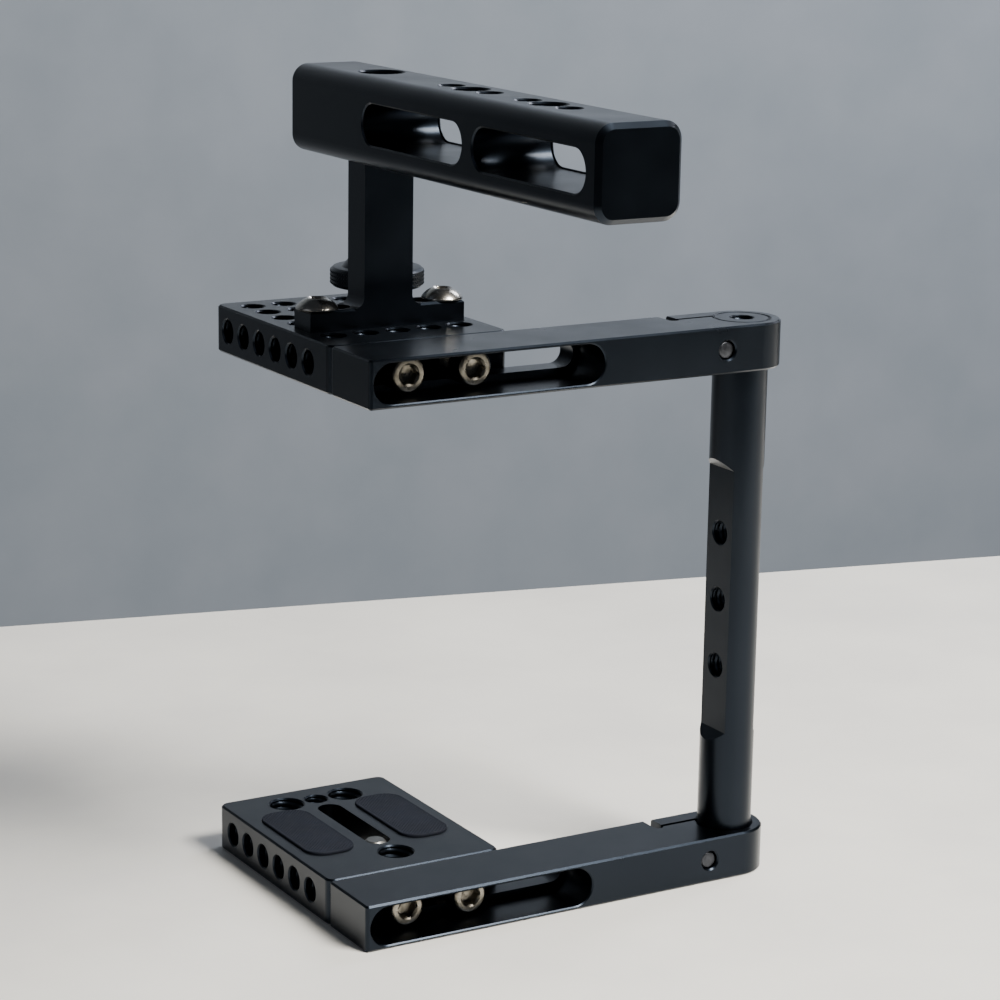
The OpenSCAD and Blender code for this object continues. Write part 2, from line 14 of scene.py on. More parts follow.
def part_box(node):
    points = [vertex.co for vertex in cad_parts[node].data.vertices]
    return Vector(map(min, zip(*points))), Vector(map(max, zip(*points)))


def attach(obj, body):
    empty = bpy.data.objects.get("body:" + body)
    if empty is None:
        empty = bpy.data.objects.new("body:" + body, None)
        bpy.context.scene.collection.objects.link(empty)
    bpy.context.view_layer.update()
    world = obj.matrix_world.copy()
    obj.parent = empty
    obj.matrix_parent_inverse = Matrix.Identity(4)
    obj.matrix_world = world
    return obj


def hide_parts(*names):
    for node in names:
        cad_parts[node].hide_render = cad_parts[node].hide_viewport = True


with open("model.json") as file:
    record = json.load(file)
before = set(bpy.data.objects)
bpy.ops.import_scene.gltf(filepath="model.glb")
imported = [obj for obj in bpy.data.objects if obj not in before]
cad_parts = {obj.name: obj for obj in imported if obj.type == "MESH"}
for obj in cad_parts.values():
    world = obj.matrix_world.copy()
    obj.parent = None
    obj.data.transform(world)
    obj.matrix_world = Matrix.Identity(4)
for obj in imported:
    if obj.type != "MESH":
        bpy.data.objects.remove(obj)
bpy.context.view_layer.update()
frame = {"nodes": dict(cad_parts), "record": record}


# ---------- base plate ----------
# A milled aluminium plate, bead-blasted and anodised black: a dark metal under a thin clear oxide,
# which is the coat. Its holes are tapped, so each shows a ridge along a right-hand helix.

MM = 0.001
SINK = 0.03 * MM  # how far the foot of a ridge or of a lip goes into the CAD surface


def colour(code):
    """Linear RGBA from an sRGB hex code: c / 12.92 up to 0.04045, else ((c + 0.055) / 1.055) ** 2.4."""
    levels = [int(code[i:i + 2], 16) / 255 for i in (1, 3, 5)]
    return tuple(c / 12.92 if c <= 0.04045 else ((c + 0.055) / 1.055) ** 2.4 for c in levels) + (1.0,)


def add(tree, kind, inputs=None):
    """Adds a node, then sets each named socket to a value or links it to another node's output."""
    made = tree.nodes.new(kind)
    for key, value in (inputs or {}).items():
        if isinstance(value, bpy.types.NodeSocket):
            tree.links.new(value, made.inputs[key])
        else:
            made.inputs[key].default_value = value
    return made


def finish(name, tint, worn, metallic, rough, grain, relief, blotch=30 * MM, coat=0.0, shine=0.5):
    """Surface whose colour drifts from tint to worn over blotch, with a grain of that size and relief,
    a roughness between the two values of rough, a clear coat, and shine for what isn't metal.
    Patterns read Object coordinates, in metres: a grain of 0.2 mm has the scale 1 / 0.0002."""
    material = bpy.data.materials.new(name)
    material.use_nodes = True
    tree = material.node_tree
    tree.nodes.clear()
    place = add(tree, "ShaderNodeTexCoord").outputs["Object"]
    drift, wear, grit = (
        add(tree, "ShaderNodeTexNoise", {"Vector": place, "Scale": 1 / size, "Detail": detail})
        for size, detail in ((blotch, 4.0), (blotch / 2, 3.0), (grain, 2.0)))
    spread = {"From Min": 0.3, "From Max": 0.7}  # where most of the noise lies
    share = add(tree, "ShaderNodeMapRange", {"Value": drift.outputs["Fac"], **spread})
    dulled = add(tree, "ShaderNodeMapRange", {
        "Value": wear.outputs["Fac"], **spread, "To Min": rough[0], "To Max": rough[1]})
    tinted = add(tree, "ShaderNodeMixRGB", {
        "Fac": share.outputs["Result"], "Color1": colour(tint), "Color2": colour(worn)})
    bump = add(tree, "ShaderNodeBump", {
        "Height": grit.outputs["Fac"], "Strength": 0.6, "Distance": relief})
    shader = add(tree, "ShaderNodeBsdfPrincipled", {
        "Base Color": tinted.outputs["Color"],
        "Roughness": dulled.outputs["Result"],
        "Normal": bump.outputs["Normal"],
        "Metallic": metallic,
        "Specular IOR Level": shine,
        "Coat Weight": coat,
        "Coat Roughness": 0.22,
        "Coat IOR": 1.3,
    })
    add(tree, "ShaderNodeOutputMaterial", {"Surface": shader.outputs["BSDF"]})
    return material


def anodised(name, tint, worn, rough):
    """Blasted aluminium, dyed black, under its oxide layer. A real blast is finer than this grain of
    0.25 mm, which is as coarse as it has to be to show."""
    return finish(name, tint, worn, metallic=1.0, rough=rough,
                  grain=0.25 * MM, relief=0.01 * MM, coat=0.3)


FINISHES = {}


def dress(slot_name, material):
    """Gives the CAD nodes of that slot in the record their material, and keeps it for new pieces."""
    FINISHES[slot_name] = material
    for part in frame["record"]["subparts"]:
        if part["material_slot"] == slot_name:
            mesh = frame["nodes"][part["node"]].data
            mesh.materials.clear()
            mesh.materials.append(material)


def volume(points, faces):
    """Signed volume: the sum of a . (b x c) / 6 over the triangles of each face."""
    corners = np.array([(face[0], face[i], face[i + 1])
                        for face in faces for i in range(1, len(face) - 1)])
    a, b, c = (points[corners[:, k]] for k in range(3))
    return np.sum(a * np.cross(b, c)) / 6


def piece(name, shells, body, slot_name, smooth_below=40):
    """One named object made of closed shells, each turned outward and laid in the part's frame."""
    points, faces = [], []
    for shell_points, shell_faces in shells:
        centred = shell_points - shell_points.mean(axis=0)
        if volume(centred, shell_faces) < 0:
            shell_faces = [face[::-1] for face in shell_faces]
        faces += [tuple(len(points) + i for i in face) for face in shell_faces]
        points += shell_points.tolist()
    data = bpy.data.meshes.new(name)
    data.from_pydata(points, [], faces)
    data.shade_smooth()
    data.set_sharp_from_angle(angle=math.radians(smooth_below))
    data.materials.append(FINISHES[slot_name])
    made = bpy.data.objects.new(name, data)
    bpy.context.scene.collection.objects.link(made)
    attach(made, body)
    return made


def axes_of(direction):
    """Unit vectors u, v, w with w along direction and u x v = w."""
    w = np.array(direction, float)
    u = np.cross([0.0, 1.0, 0.0] if abs(w[1]) < 0.9 else [1.0, 0.0, 0.0], w)
    return u, np.cross(w, u), w


def bands(rows):
    """Faces between each row of point numbers and the next, where every row runs once round."""
    here, there = rows[:-1], rows[1:]
    corners = [here, np.roll(here, -1, axis=1), np.roll(there, -1, axis=1), there]
    return np.stack(corners, axis=2).reshape(-1, 4).tolist()


def ridge(mouth, direction, first, last, wall, pitch, depth, steps=26):
    """Closed ridge swept along p(a) = r cos(a) u + r sin(a) v + (first + pitch * a / 2 pi) w.
    Its section is a trapezium, 0.88 of the pitch wide at its foot and 0.14 at its crest, that grows to
    its full depth over the first half turn and shrinks again over the last."""
    u, v, w = axes_of(direction)
    turns = (last - first) / pitch - 1
    count = max(int(turns * steps), 8)
    a = np.linspace(0, 2 * math.pi * turns, count)
    grow = np.clip(np.minimum(a, a[-1] - a) / math.pi, 0.02, 1)
    rows = []
    for inward, lift in ((0, -0.44), (1, -0.07), (1, 0.07), (0, 0.44)):
        r = wall + SINK - inward * (depth + SINK) * grow
        z = first + pitch * (0.5 + a / (2 * math.pi) + lift)
        rows.append(np.outer(r * np.cos(a), u) + np.outer(r * np.sin(a), v) + np.outer(z, w))
    points = np.stack(rows, axis=1).reshape(-1, 3) + np.array(mouth)
    index = np.arange(4 * count).reshape(count, 4)
    return points, bands(index) + [index[0].tolist(), index[-1, ::-1].tolist()]


def threads(name, holes, kind, body, slot_name):
    """Thread ridges for a list of holes: (mouth in mm, direction, first and last depth in mm)."""
    shells = [ridge(np.array(mouth) * MM, way, first * MM, last * MM, **kind)
              for mouth, way, first, last in holes]
    return piece(name, shells, body, slot_name)


# 1/4 inch-20 and 3/8 inch-16, in millimetres. FINE is the 1/4 inch thread of the side holes, whose
# ridge shows less.
QUARTER_D, QUARTER_PITCH, THREE8_D, THREE8_PITCH = 6.35, 1.27, 9.53, 1.5875
QUARTER = {"wall": QUARTER_D / 2 * MM, "pitch": QUARTER_PITCH * MM, "depth": 0.5 * MM}
FINE = {**QUARTER, "depth": 0.3 * MM}
THREE8 = {"wall": THREE8_D / 2 * MM, "pitch": THREE8_PITCH * MM, "depth": 0.7 * MM}
DOWN, RIGHTWARD, UPWARD = (0, 0, -1), (1, 0, 0), (0, 0, 1)

ROW, COLUMN = 9.5, 9.25
ROWS = range(6)
LAST_ROW = ROWS[-1] * ROW
THICK = 12.7
START = 0.4           # depth at which a thread starts, under its hole's countersink
SIDE_START = 0.6      # the same in the side holes
BASE_SIDE_END = 9.6   # depth at which a thread in the side of the base plate ends
plate_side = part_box("top_plate")[0].x / MM

# satin black anodising over a fine bead blast: dark, with a soft blue-grey sheen at low angles
dress("anodised_plate", anodised("black_anodised_plate", "#191f27", "#1e242c", (0.28, 0.35)))

threads("base_plate_rear_thread", [((0, LAST_ROW, THICK), DOWN, START, THICK - START)],
        QUARTER, "base", "anodised_plate")
threads("base_plate_side_threads",
        [((plate_side, i * ROW, THICK / 2), RIGHTWARD, SIDE_START, BASE_SIDE_END) for i in ROWS],
        FINE, "base", "anodised_plate")
threads("base_plate_three8_threads",
        [((x, y, THICK), DOWN, START, THICK - START)
         for x, y in ((0, 0), (-COLUMN, LAST_ROW), (COLUMN, LAST_ROW))],
        THREE8, "base", "anodised_plate")


# ---------- grip pads ----------
# Two moulded rubber pads with a rolled rim and a fine diagonal weave, glued into shallow recesses
# of the base plate, where the camera's foot rests on them.

PAD_ROLL = 0.3 * MM
PAD_CORNER = 5.5 * MM
ROLL_ANGLES = np.radians([68, 45, 22, 0])  # where the rolled rim's loops lie, down from its crest
PAD_FADE = 0.6 * MM  # width over which the weave runs out towards the rim
WEAVE = 0.22 * MM
WEAVE_PITCH = 1.15 * MM

# moulded grip rubber: matt, with a faint blue cast and hardly any gleam
dress("pad_rubber", finish("moulded_rubber", "#0d111b", "#121722", metallic=0.0, rough=(0.72, 0.84),
                           grain=0.3 * MM, relief=0.02 * MM, blotch=8 * MM, shine=0.22))


def pad_grid(half, inset, across, along):
    """Grid (s w(y), y) for s in -1..1: w(y) is the half width of a rounded rectangle, which is
    half x up to the corners and half x - r + sqrt(r^2 - (|y| - (half y - r))^2) beyond them."""
    hx, hy, r = half[0] - inset, half[1] - inset, PAD_CORNER - inset
    y = hy * np.sin(np.linspace(-np.pi / 2, np.pi / 2, along))
    past = np.clip(np.abs(y) - (hy - r), 0, r)
    width = hx - r + np.sqrt(r * r - past * past)
    return np.outer(width, np.linspace(-1, 1, across)), np.repeat(y[:, None], across, axis=1)


def rim_of(grid):
    """The border of a grid, once round: first row, last column, last row back, first column back."""
    return np.concatenate([grid[0, :-1], grid[:-1, -1], grid[-1, :0:-1], grid[:0:-1, 0]])


def grip_pad(name, node, across=110, along=300):
    """Pad in the node's box: a grid for the top, lowered by WEAVE * (3 - 2 sin(u) - sin(v)) / 6 where
    u = x - y and v = x + y, then loops down the rolled rim and the wall, and a flat foot."""
    low, high = (np.array(c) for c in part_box(node))
    middle, half = (low + high) / 2, (high - low) / 2
    x, y = pad_grid(half, PAD_ROLL, across, along)
    u, v = (2 * np.pi * (x + k * y) / WEAVE_PITCH for k in (-1, 1))
    drop = WEAVE * (3 - 2 * np.sin(u) - np.sin(v)) / 6
    fade = np.clip((half[0] - PAD_ROLL - np.abs(x)) / PAD_FADE, 0, 1)
    fade = fade * np.clip((half[1] - PAD_ROLL - np.abs(y)) / PAD_FADE, 0, 1)
    top = np.stack([x, y, high[2] - middle[2] - fade * drop], axis=2)
    loops = []
    for inset, z in [(PAD_ROLL * (1 - math.cos(t)), high[2] - PAD_ROLL * (1 - math.sin(t)))
                     for t in ROLL_ANGLES] + [(0.0, low[2])]:
        rim = rim_of(np.stack(pad_grid(half, inset, across, along), axis=2))
        loops.append(np.column_stack([rim, np.full(len(rim), z - middle[2])]))
    count = len(loops[0])
    points = np.concatenate([top.reshape(-1, 3)] + loops + [[[0, 0, low[2] - middle[2]]]]) + middle
    index = np.arange(across * along).reshape(along, across)
    faces = np.column_stack([index[:-1, :-1].ravel(), index[:-1, 1:].ravel(),
                             index[1:, 1:].ravel(), index[1:, :-1].ravel()]).tolist()
    rows = [rim_of(index)] + [across * along + k * count + np.arange(count) for k in range(len(loops))]
    for above, below in zip(rows, rows[1:]):
        faces += np.column_stack([above, below, np.roll(below, -1), np.roll(above, -1)]).tolist()
    faces += [[a, len(points) - 1, b] for a, b in zip(rows[-1], np.roll(rows[-1], -1))]
    made = piece(name, [(points, faces)], "base", "pad_rubber", smooth_below=75)
    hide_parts(node)
    return made


for side in ("left", "right"):
    grip_pad(f"base_pad_{side}_weave", f"base_pad_{side}")


# ---------- camera screw ----------
# A stainless 1/4 inch screw and its washer, turned on a lathe. They run in the channel under the
# base plate's slot, and only the screw's tip shows from above. Both keep their CAD shape.

# turned stainless steel: grey, with a broad dull gleam
dress("camera_screw_steel",
      finish("turned_stainless_steel", "#8a8985", "#7a7975", metallic=1.0, rough=(0.34, 0.44),
             grain=0.3 * MM, relief=0.006 * MM, blotch=3 * MM))


# ---------- clamp arms ----------
# Two like arms, milled from aluminium bar and anodised. Each has a slotted pocket for the plate's
# screws and a split clamp for the rod. A narrow face breaks the pocket's front edge.

POCKET_WALL = 1 * MM  # between the pocket and the arm's left end
POCKET = {"half_x": 34 * MM, "half_z": 5.6 * MM}
POCKET_EDGE = 0.32 * MM

# the plates' anodising, a touch smoother
dress("anodised_arm", anodised("black_anodised_arm", "#191f27", "#1d232b", (0.27, 0.34)))


def stadium(half_x, half_y, r, count=240):
    """Points and outward normals round a rectangle with corners of radius r: the arc
    c + r (cos t, sin t) at each corner, then even steps to where the next arc starts."""
    corners = np.array([(half_x - r, half_y - r), (r - half_x, half_y - r),
                        (r - half_x, r - half_y), (half_x - r, r - half_y)])
    arc, girth = np.pi / 2 * r, 2 * np.pi * r + 4 * (half_x + half_y - 2 * r)
    bent = max(int(count * arc / girth), 4)
    places, ways = [], []
    for k, corner in enumerate(corners):
        ahead = corners[(k + 1) % 4] - corner
        gap = np.linalg.norm(ahead)
        steps = max(int(count * gap / girth), 1) if gap > SINK / 10 else 0
        turn = 90 * k + np.append(np.linspace(0, 90, bent, endpoint=False), np.full(steps, 90))
        moved = np.append(np.zeros(bent), np.linspace(0, 1, steps, endpoint=False))
        ways.append(np.column_stack([np.cos(np.radians(turn)), np.sin(np.radians(turn))]))
        places.append(corner + r * ways[-1] + np.outer(moved, ahead))
    return np.concatenate(places), np.concatenate(ways)


def lip(centre, across, inward, half_x, half_z, width):
    """Narrow 45-degree face round a slot's mouth, in the plane of across and Z: three loops at offsets
    -SINK, width and -SINK from the slot's outline, at depths SINK, width and 2 * width along inward."""
    outline, ways = stadium(half_x, half_z, min(half_x, half_z))
    loops = []
    for offset, depth in ((-SINK, SINK), (width, width), (-SINK, 2 * width)):
        flat = outline - ways * offset
        loops.append(np.array(centre) + np.outer(flat[:, 0], across) + np.outer(flat[:, 1], UPWARD)
                     + np.array(inward) * depth)
    index = np.arange(3 * len(outline)).reshape(3, -1)
    return np.concatenate(loops), bands(index[[0, 1, 2, 0]])


for node, body in (("base_arm", "lower_arm"), ("top_arm", "upper_arm")):
    low, high = (np.array(c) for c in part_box(node))
    mouth = (low[0] + POCKET_WALL + POCKET["half_x"], low[1], (low[2] + high[2]) / 2)
    piece(f"{node}_pocket_lip", [lip(mouth, (1, 0, 0), (0, 1, 0), width=POCKET_EDGE, **POCKET)],
          body, "anodised_arm", smooth_below=30)


# ---------- arm screws and pinch screws ----------
# Socket cap screws, cold-headed with a rolled thread and a knurled head. Four hold the plates to
# the arms, and one smaller and blackened in each arm closes its clamp.

TURN = np.linspace(0, 2 * np.pi, 240, endpoint=False)  # angles of the points of a turned ring
HEAD_TEETH, HEAD_CUT = 60, 0.16  # the knurl round a cap screw's head
CUT_SHARE = 0.55                 # depth of a screw's thread, as a share of its pitch
MOUTH_WIDER, MOUTH_DEEP = 0.22, 0.42  # the countersink at a socket's mouth
ARM_SCREW = {"d": QUARTER_D, "pitch": QUARTER_PITCH, "head_d": 9.5, "head_h": 6.35, "socket": 4.8}
ARM_SCREW_LENGTH = 19.9
PINCH_SCREW = {"d": 5.0, "pitch": 0.8, "head_d": 8.5, "head_h": 5.0, "socket": 4.0}

# cold-headed steel with a nickel plating: warm, bright and slightly dulled in places
dress("cap_screw_steel",
      finish("nickel_plated_steel", "#9e998e", "#726d62", metallic=1.0, rough=(0.26, 0.38),
             grain=0.4 * MM, relief=0.012 * MM, blotch=2 * MM))
# blackened steel: dark grey, with lighter patches where it is rubbed
dress("pinch_screw_steel",
      finish("blackened_steel", "#37393d", "#4c4e53", metallic=1.0, rough=(0.30, 0.44),
             grain=0.3 * MM, relief=0.01 * MM, blotch=1.5 * MM))


def rings(levels):
    """Shell through rings of equal count, with a fan to the middle of the first and the last."""
    points = np.concatenate(levels + [[levels[0].mean(axis=0)], [levels[-1].mean(axis=0)]])
    index = np.arange(len(points) - 2).reshape(len(levels), -1)
    fans = [np.column_stack([row, np.roll(row, -1), np.full(len(row), middle)])
            for row, middle in ((index[0, ::-1], len(points) - 2), (index[-1], len(points) - 1))]
    return points, bands(index) + np.concatenate(fans).tolist()


def threaded(pitch, depth):
    """Radius r - depth * t, where t is a flattened triangle wave of z / pitch - a / 2 pi."""
    def radius(a, z, r):
        wave = np.abs(2 * ((z / pitch - a / (2 * np.pi)) % 1) - 1)
        return r - depth * np.clip(1.3 * wave - 0.15, 0, 1)
    return radius


def toothed(teeth, depth):
    """Radius r - depth * |sin(teeth * a / 2)|, for straight knurling."""
    return lambda a, z, r: r - depth * np.abs(np.sin(teeth * a / 2))


def hexagon(a, z, r):
    """Radius r / cos(a - m), where m is the middle of the flat that a points at."""
    return r / np.cos((a + np.pi / 6) % (np.pi / 3) - np.pi / 6)


def turned(name, node, way, profile, body, slot_name, smooth_below=38):
    """Part turned about the axis of its node's box. Each ring of the profile is a radius and a height
    along way in millimetres, then None or the shape that gives the radius at angle a and height z."""
    low, high = (np.array(c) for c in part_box(node))
    u, v, w = axes_of(way)
    foot = (low + high) / 2 - w * abs(np.dot(high - low, w)) / 2
    levels = []
    for r, z, shape in profile:
        radius = MM * (shape(TURN, z, r) if shape else np.full(len(TURN), r))
        levels.append(foot + np.outer(radius * np.cos(TURN), u) + np.outer(radius * np.sin(TURN), v)
                      + w * z * MM)
    made = piece(name, [rings(levels)], body, slot_name, smooth_below)
    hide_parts(node)
    return made


def shank_rings(d, pitch, end):
    """Rings of a threaded shank from its tip at 0 to the height end."""
    r, cut = d / 2, CUT_SHARE * pitch
    thread = [(r, z, threaded(pitch, cut)) for z in np.arange(cut + 0.05, end - 0.5 * pitch, pitch / 8)]
    return [(r - cut - 0.1, 0.0, None), (r - cut, 0.04, None), (r - 0.05, cut, None)] + thread + [
        (r, end - 0.4 * pitch, None), (r, end, None)]


def socket_rings(size, top, depth):
    """Rings that go down into a hexagon socket: countersunk mouth, flats, and a drilled bottom."""
    corner = size / 2 / math.cos(math.pi / 6)
    return [(corner + MOUTH_WIDER, top, None), (corner + 0.12, top - 0.08, None),
            (size / 2, top - MOUTH_DEEP, hexagon), (size / 2, top - depth, hexagon),
            (0.4 * size, top - depth - 0.05, None), (0.05, top - depth - 0.5, None)]


def cap_rings(length, d, pitch, head_d, head_h, socket):
    """Rings of a socket cap screw: shank, knurled head, chamfer, flat face and socket."""
    seat, r = length - head_h, head_d / 2
    knurl = toothed(HEAD_TEETH, HEAD_CUT)
    return shank_rings(d, pitch, seat) + [
        (r - 0.3, seat, None), (r, seat + 0.3, None), (r, seat + 0.5, knurl), (r, length - 1.0, knurl),
        (r, length - 0.8, None), (r - 0.12, length - 0.45, None), (r - 0.6, length - 0.04, None),
        (r - 0.8, length, None)] + socket_rings(socket, length, 0.5 * head_h)


for level in ("base", "top"):
    for side in ("left", "right"):
        node = f"{level}_arm_screw_{side}"
        turned(f"{node}_turned", node, (0, -1, 0), cap_rings(ARM_SCREW_LENGTH, **ARM_SCREW),
               level, "cap_screw_steel")

for level, body in (("base", "lower_pinch"), ("top", "upper_pinch")):
    node = f"{level}_pinch_screw"
    low, high = (np.array(c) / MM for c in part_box(node))
    turned(f"{node}_turned", node, (0, 1, 0), cap_rings(high[1] - low[1], **PINCH_SCREW),
           body, "pinch_screw_steel")


# ---------- side rod ----------
# A 15 mm aluminium rod with a flat milled on its left and on its right. Three tapped holes go through
# it from flat to flat, and each end is tapped. It is anodised as the plates are.

ROD_HOLE_PITCH = 18.8
ROD_FLAT = 4.8       # from the rod's axis to a flat
ROD_HOLES_LOW = 0.1  # the middle hole's distance below the middle of the rod
ROD_END_START, ROD_END_END = 0.3, 11.8
TOP = 155.5          # height of the rod's upper end, and of the top plate's upper face

# the plates' anodising, a touch lighter and duller
dress("anodised_rod", anodised("black_anodised_rod", "#1a2028", "#1f252d", (0.29, 0.36)))

rod_low, rod_high = (np.array(c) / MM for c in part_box("side_rod"))
rod_x, rod_y, rod_z = (rod_low + rod_high) / 2
threads("rod_cross_threads",
        [((rod_x - ROD_FLAT, rod_y, rod_z - ROD_HOLES_LOW + i * ROD_HOLE_PITCH), RIGHTWARD,
          START, 2 * ROD_FLAT - START) for i in (-1, 0, 1)],
        QUARTER, "rod", "anodised_rod")
threads("rod_end_threads",
        [((rod_x, rod_y, TOP), DOWN, ROD_END_START, ROD_END_END),
         ((rod_x, rod_y, 0), UPWARD, ROD_END_START, ROD_END_END)],
        QUARTER, "rod", "anodised_rod")


# ---------- top plate ----------
# A second milled plate, with the base plate's metal and finish. It has a grid of tapped holes and a
# row of them in its side, which break into the grid's first column.

SHIFT = 1.5          # how far its rows lie behind the base plate's
TOP_SIDE_END = 3.8   # depth at which a thread in its side ends, short of the first column
TAKEN = ((0, 1), (4, 1), (3, 3))  # column and row of the two post screws and of the shoe's stud

threads("top_plate_grid_threads",
        [(((i - 2) * COLUMN, SHIFT + j * ROW, TOP), DOWN, START, THICK - START)
         for i in range(5) for j in ROWS if (i, j) not in TAKEN],
        QUARTER, "top", "anodised_plate")
threads("top_plate_side_threads",
        [((plate_side, SHIFT + i * ROW, TOP - THICK / 2), RIGHTWARD, SIDE_START, TOP_SIDE_END)
         for i in ROWS],
        FINE, "top", "anodised_plate")


# ---------- post and handle ----------
# A milled post and a handle bar, both anodised. The bar's two windows have broken edges, and its
# holes are tapped down into them. Two domed screws hold the post, and a cap screw holds the bar.

WINDOW_L, WINDOW_WEB = 51.3, 4.2
WINDOW_FRONT = 4.9            # between the bar's front end and the first window
WINDOW_HALF_H, WINDOW_EDGE = 5.6, 0.4
GROUP_Y, GROUP_PITCH = 18.2, 9.3  # from the web to a 3/8 inch hole, and from that to its neighbours
HANDLE_WALL = 5.8             # above a window
POST_SCREW = {"length": 20.6, "head_d": 11.1, "head_h": 3.4, "rim": 0.4, "socket": 4.0}
HANDLE_BOLT_LENGTH = 34.15

# the plates' anodising, a touch lighter
dress("anodised_handle", anodised("black_anodised_handle", "#1a2028", "#1e242c", (0.28, 0.35)))
# polished stainless steel, almost smooth: one clear highlight on each dome
dress("button_screw_steel",
      finish("polished_stainless_steel", "#bdbab3", "#aca8a0", metallic=1.0, rough=(0.2, 0.24),
             grain=0.5 * MM, relief=0.0005 * MM, blotch=6 * MM))
# black oxide on steel: brown-black and dull
dress("bolt_steel",
      finish("black_oxide_steel", "#2b2a29", "#383634", metallic=1.0, rough=(0.38, 0.5),
             grain=0.3 * MM, relief=0.01 * MM, blotch=4 * MM))

bar_low, bar_high = (np.array(c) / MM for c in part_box("handle_bar"))
web_y = bar_low[1] + WINDOW_FRONT + WINDOW_L + WINDOW_WEB / 2
window_z = (bar_low[2] + bar_high[2]) / 2
lips = [lip((x * MM, (web_y + s * (WINDOW_L + WINDOW_WEB) / 2) * MM, window_z * MM), (0, 1, 0),
            (inward, 0, 0), WINDOW_L / 2 * MM, WINDOW_HALF_H * MM, WINDOW_EDGE * MM)
        for x, inward in ((bar_low[0], 1), (bar_high[0], -1)) for s in (-1, 1)]
piece("handle_window_lips", lips, "top", "anodised_handle", smooth_below=30)
threads("handle_quarter_threads",
        [((0, web_y + g + s * GROUP_PITCH, bar_high[2]), DOWN, START, HANDLE_WALL)
         for g in (-GROUP_Y, GROUP_Y) for s in (-1, 1)],
        QUARTER, "top", "anodised_handle")
threads("handle_three8_threads",
        [((0, web_y + g, bar_high[2]), DOWN, START, HANDLE_WALL) for g in (-GROUP_Y, GROUP_Y)],
        THREE8, "top", "anodised_handle")


def button_rings(length, head_d, head_h, rim, socket):
    """Rings of a domed screw: shank, straight rim, then r = sqrt(R^2 - (z - c)^2) up to the socket."""
    seat, r, crown = length - head_h, head_d / 2, head_h - rim
    dome_r = (r * r + crown * crown) / (2 * crown)
    spread = np.linspace(r, socket / 2 / math.cos(math.pi / 6) + 0.3, 26)
    heights = length - dome_r + np.sqrt(dome_r ** 2 - spread ** 2)
    dome = [(x, z, None) for x, z in zip(spread, heights)]
    return (shank_rings(QUARTER_D, QUARTER_PITCH, seat) + [(r - 0.1, seat, None), (r, seat + 0.08, None)]
            + dome + socket_rings(socket, heights[-1], 0.55 * head_h))


for side in ("left", "right"):
    turned(f"post_screw_{side}_turned", f"post_screw_{side}", (0, 0, 1), button_rings(**POST_SCREW),
           "top", "button_screw_steel")
turned("handle_bolt_turned", "handle_bolt", (0, 0, 1), cap_rings(HANDLE_BOLT_LENGTH, **ARM_SCREW),
       "top", "bolt_steel")


# ---------- shoe mount ----------
# A turned aluminium knob on a threaded steel stud, over a milled foot. Its rim has a diamond knurl,
# and a coned boss rises from its middle. Knob and foot are anodised; the foot keeps its CAD shape.

STUD_D, STUD_CHAMFER, STUD_TOP_R = 6.27, 0.6, 2.6
KNURL_TEETH, KNURL_DEPTH, KNURL_STEP = 80, 0.26, 0.12
KNURL_FROM, KNURL_TO = 0.75, 4.5
RIM_HIGH, KNOB_HIGH = 5.2, 8.2
BORE_R, BORE_DEEP = 3.1, 5.0  # where the stud enters the knob from below
BOSS_R, BOSS_TOP_R = 9.5, 7.0

# the plates' anodising, darker and more matt, so that the knurl reads as a fine dark texture
dress("knob_aluminium", anodised("black_anodised_knob", "#141a22", "#181f27", (0.33, 0.4)))
# the same on the foot, the dullest of the anodised pieces
dress("shoe_aluminium", anodised("black_anodised_shoe_foot", "#161d26", "#1b222b", (0.36, 0.44)))


def diamond(around, depth, rim):
    """Radius r - depth * (1 - min(t(u + v), t(u - v))), t a triangle wave, u round the rim, v up it."""
    def radius(a, z, r):
        u, v = a * around / (2 * np.pi), z * around / (2 * np.pi * rim)
        waves = [np.abs(2 * ((u + s * v) % 1) - 1) for s in (1, -1)]
        return r - depth * (1 - np.minimum(*waves))
    return radius


knob_low, knob_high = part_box("shoe_knob")
rim_r = (knob_high.x - knob_low.x) / 2 / MM
knurl = diamond(KNURL_TEETH, KNURL_DEPTH, rim_r)
turned("shoe_knob_turned", "shoe_knob", (0, 0, 1),
       [(BORE_R - 0.2, BORE_DEEP, None), (BORE_R, 0.0, None), (rim_r - 1.2, 0.0, None),
        (rim_r - 0.85, 0.1, None), (rim_r - 0.35, 0.6, None)]
       + [(rim_r, z, knurl) for z in np.arange(KNURL_FROM, KNURL_TO, KNURL_STEP)]
       + [(rim_r - 0.35, 4.6, None), (rim_r - 0.8, 5.08, None), (rim_r - 1.1, RIM_HIGH, None),
          (BOSS_R + 0.3, RIM_HIGH, None), (BOSS_R, RIM_HIGH + 0.07, None),
          (BOSS_R - 0.15, RIM_HIGH + 0.2, None), (BOSS_TOP_R + 0.15, KNOB_HIGH - 0.3, None),
          (BOSS_TOP_R - 0.1, KNOB_HIGH - 0.1, None), (BOSS_TOP_R - 0.5, KNOB_HIGH, None),
          (2.2, KNOB_HIGH, None)],
       "knob", "knob_aluminium", smooth_below=35)
stud_low, stud_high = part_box("shoe_stud")
stud_length = (stud_high.z - stud_low.z) / MM
turned("shoe_stud_turned", "shoe_stud", (0, 0, 1),
       shank_rings(STUD_D, QUARTER_PITCH, stud_length - STUD_CHAMFER)
       + [(STUD_TOP_R, stud_length, None)], "knob", "cap_screw_steel")


# ---------- camera and studio ----------
# The camera was solved from the photo. The cage stands on a pale table, whose far edge crosses the
# picture at the photo's two heights, before a grey wall. A soft light hangs overhead, a weak one
# stands at the left, and a third washes the wall.

